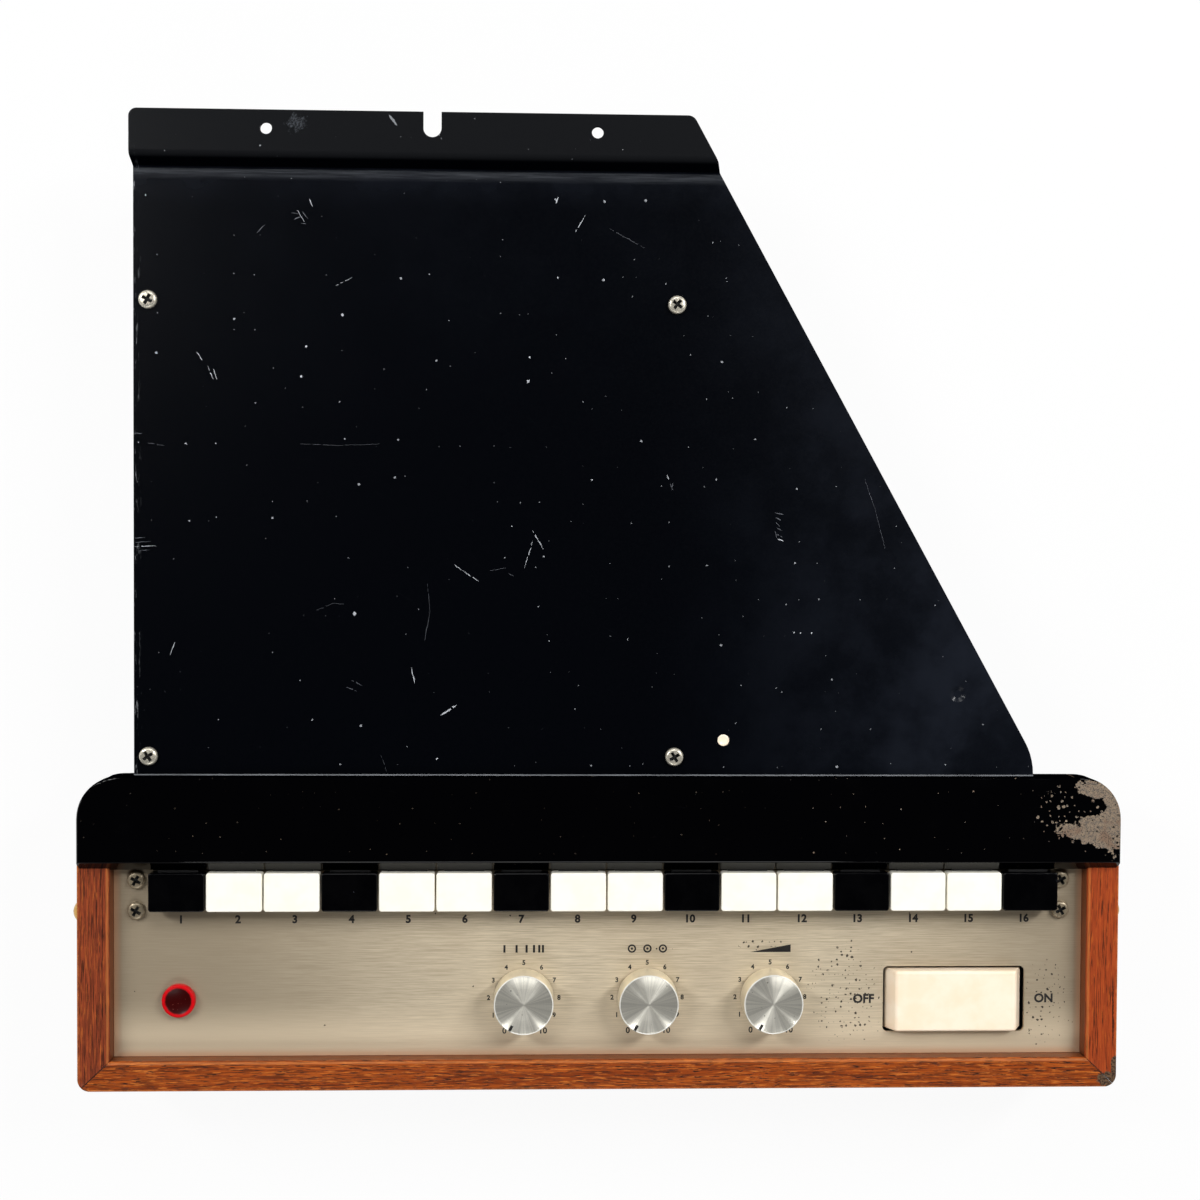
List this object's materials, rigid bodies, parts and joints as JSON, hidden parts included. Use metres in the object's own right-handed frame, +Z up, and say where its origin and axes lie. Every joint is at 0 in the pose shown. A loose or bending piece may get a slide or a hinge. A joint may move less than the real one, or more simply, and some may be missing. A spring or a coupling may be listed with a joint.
{
  "type": "drum machine",
  "caption": "Organ-mount drum machine: wood-framed head with piano-style rhythm keys, knobs, a start rocker and a lamp, and a black steel deck with a slotted flange over its rear chassis.",
  "frame": {"origin": "centre of the base: the middle of the whole outline seen from above, at the underside of the chassis", "axes": "+X along the key row to the right, +Y to the rear towards the flange, +Z up"},
  "size_m": [0.3998, 0.3626, 0.062],
  "materials": {
    "deck_paint": "satin black paint, scratched and chipped",
    "gloss_paint": "gloss black paint, worn through at the right end",
    "chassis_paint": "satin black paint",
    "wood": "satin varnished red-brown veneer",
    "panel_aluminium": "brushed, champagne tint",
    "knob_aluminium": "spun face, turned side",
    "ivory_key": "smooth",
    "black_key": "smooth",
    "cream_plastic": "smooth, slightly yellowed",
    "red_lens": "clear red",
    "bulb_glass": "clear",
    "nickel": "tarnished nickel plate",
    "brass": "dull",
    "plated_steel": "zinc plated",
    "can_aluminium": "plain",
    "board": "phenolic board",
    "felt": "felt",
    "black_plastic": "moulded",
    "black_rubber": "moulded"
  },
  "bodies": {
    "case": {"board_capacitors": "can_aluminium", "board_parts": "black_plastic", "board_standoffs": "brass", "cord_grommet": "black_rubber", "cover_screws": "nickel", "cymbal_pot": "plated_steel", "eyelet": "cream_plastic", "face_panel": "panel_aluminium", "front_rail": "wood", "fuse_holder": "black_plastic", "head_tray": "chassis_paint", "key_bracket": "plated_steel", "key_contacts": "brass", "key_cover": "gloss_paint", "key_pivot_rod": "plated_steel", "key_rest_felt": "felt", "key_springs": "plated_steel", "lamp_bulb": "bulb_glass", "lamp_holder": "black_plastic", "lamp_lens": "red_lens", "latch_spring": "plated_steel", "left_cheek": "wood", "main_board": "board", "output_jack": "plated_steel", "panel_screws": "nickel", "pot_nuts": "plated_steel", "rear_chassis": "chassis_paint", "right_cheek": "wood", "rocker_housing": "black_plastic", "switch_board": "board", "tempo_pot": "plated_steel", "top_cover": "deck_paint", "transformer": "plated_steel", "tray_screws": "nickel", "volume_pot": "plated_steel", "wood_screws": "brass"},
    "key_01": {"key_01": "black_key"},
    "key_02": {"key_02": "ivory_key"},
    "key_03": {"key_03": "ivory_key"},
    "key_04": {"key_04": "black_key"},
    "key_05": {"key_05": "ivory_key"},
    "key_06": {"key_06": "ivory_key"},
    "key_07": {"key_07": "black_key"},
    "key_08": {"key_08": "ivory_key"},
    "key_09": {"key_09": "ivory_key"},
    "key_10": {"key_10": "black_key"},
    "key_11": {"key_11": "ivory_key"},
    "key_12": {"key_12": "ivory_key"},
    "key_13": {"key_13": "black_key"},
    "key_14": {"key_14": "ivory_key"},
    "key_15": {"key_15": "ivory_key"},
    "key_16": {"key_16": "black_key"},
    "tempo_knob": {"tempo_knob": "knob_aluminium", "tempo_shaft": "plated_steel"},
    "cymbal_knob": {"cymbal_knob": "knob_aluminium", "cymbal_shaft": "plated_steel"},
    "volume_knob": {"volume_knob": "knob_aluminium", "volume_shaft": "plated_steel"},
    "start_rocker": {"start_rocker": "cream_plastic"},
    "latch_bar": {"latch_bar": "plated_steel"}
  },
  "joints": [
    {"name": "key_01_press", "type": "hinge", "parent": "case", "child": "key_01", "pos_m": [-0.1587, -0.0733, 0.049], "axis": [1, 0, 0], "range_deg": [0, 6], "stiffness_Nm_per_rad": 0.2, "springref_deg": -6.88},
    {"name": "key_02_press", "type": "hinge", "parent": "case", "child": "key_02", "pos_m": [-0.13736, -0.0733, 0.049], "axis": [1, 0, 0], "range_deg": [0, 6], "stiffness_Nm_per_rad": 0.2, "springref_deg": -6.88},
    {"name": "key_03_press", "type": "hinge", "parent": "case", "child": "key_03", "pos_m": [-0.11602, -0.0733, 0.049], "axis": [1, 0, 0], "range_deg": [0, 6], "stiffness_Nm_per_rad": 0.2, "springref_deg": -6.88},
    {"name": "key_04_press", "type": "hinge", "parent": "case", "child": "key_04", "pos_m": [-0.09468, -0.0733, 0.049], "axis": [1, 0, 0], "range_deg": [0, 6], "stiffness_Nm_per_rad": 0.2, "springref_deg": -6.88},
    {"name": "key_05_press", "type": "hinge", "parent": "case", "child": "key_05", "pos_m": [-0.07334, -0.0733, 0.049], "axis": [1, 0, 0], "range_deg": [0, 6], "stiffness_Nm_per_rad": 0.2, "springref_deg": -6.88},
    {"name": "key_06_press", "type": "hinge", "parent": "case", "child": "key_06", "pos_m": [-0.052, -0.0733, 0.049], "axis": [1, 0, 0], "range_deg": [0, 6], "stiffness_Nm_per_rad": 0.2, "springref_deg": -6.88},
    {"name": "key_07_press", "type": "hinge", "parent": "case", "child": "key_07", "pos_m": [-0.03066, -0.0733, 0.049], "axis": [1, 0, 0], "range_deg": [0, 6], "stiffness_Nm_per_rad": 0.2, "springref_deg": -6.88},
    {"name": "key_08_press", "type": "hinge", "parent": "case", "child": "key_08", "pos_m": [-0.00932, -0.0733, 0.049], "axis": [1, 0, 0], "range_deg": [0, 6], "stiffness_Nm_per_rad": 0.2, "springref_deg": -6.88},
    {"name": "key_09_press", "type": "hinge", "parent": "case", "child": "key_09", "pos_m": [0.01202, -0.0733, 0.049], "axis": [1, 0, 0], "range_deg": [0, 6], "stiffness_Nm_per_rad": 0.2, "springref_deg": -6.88},
    {"name": "key_10_press", "type": "hinge", "parent": "case", "child": "key_10", "pos_m": [0.03336, -0.0733, 0.049], "axis": [1, 0, 0], "range_deg": [0, 6], "stiffness_Nm_per_rad": 0.2, "springref_deg": -6.88},
    {"name": "key_11_press", "type": "hinge", "parent": "case", "child": "key_11", "pos_m": [0.0547, -0.0733, 0.049], "axis": [1, 0, 0], "range_deg": [0, 6], "stiffness_Nm_per_rad": 0.2, "springref_deg": -6.88},
    {"name": "key_12_press", "type": "hinge", "parent": "case", "child": "key_12", "pos_m": [0.07604, -0.0733, 0.049], "axis": [1, 0, 0], "range_deg": [0, 6], "stiffness_Nm_per_rad": 0.2, "springref_deg": -6.88},
    {"name": "key_13_press", "type": "hinge", "parent": "case", "child": "key_13", "pos_m": [0.09738, -0.0733, 0.049], "axis": [1, 0, 0], "range_deg": [0, 6], "stiffness_Nm_per_rad": 0.2, "springref_deg": -6.88},
    {"name": "key_14_press", "type": "hinge", "parent": "case", "child": "key_14", "pos_m": [0.11872, -0.0733, 0.049], "axis": [1, 0, 0], "range_deg": [0, 6], "stiffness_Nm_per_rad": 0.2, "springref_deg": -6.88},
    {"name": "key_15_press", "type": "hinge", "parent": "case", "child": "key_15", "pos_m": [0.14006, -0.0733, 0.049], "axis": [1, 0, 0], "range_deg": [0, 6], "stiffness_Nm_per_rad": 0.2, "springref_deg": -6.88},
    {"name": "key_16_press", "type": "hinge", "parent": "case", "child": "key_16", "pos_m": [0.1614, -0.0733, 0.049], "axis": [1, 0, 0], "range_deg": [0, 6], "stiffness_Nm_per_rad": 0.2, "springref_deg": -6.88},
    {"name": "tempo_turn", "type": "hinge", "parent": "case", "child": "tempo_knob", "pos_m": [-0.0296, -0.1482, 0.0458], "axis": [0, 0, -1], "range_deg": [0, 300]},
    {"name": "cymbal_turn", "type": "hinge", "parent": "case", "child": "cymbal_knob", "pos_m": [0.0173, -0.1482, 0.0458], "axis": [0, 0, -1], "range_deg": [0, 300]},
    {"name": "volume_turn", "type": "hinge", "parent": "case", "child": "volume_knob", "pos_m": [0.0642, -0.1482, 0.0458], "axis": [0, 0, -1], "range_deg": [0, 300]},
    {"name": "rocker_tilt", "type": "hinge", "parent": "case", "child": "start_rocker", "pos_m": [0.1348, -0.1491, 0.04], "axis": [0, 1, 0], "range_deg": [-6, 6]},
    {"name": "latch_slide", "type": "slide", "parent": "case", "child": "latch_bar", "axis": [1, 0, 0], "range_m": [0, 0.002], "stiffness_N_per_m": 400, "springref_m": -0.003}
  ]
}
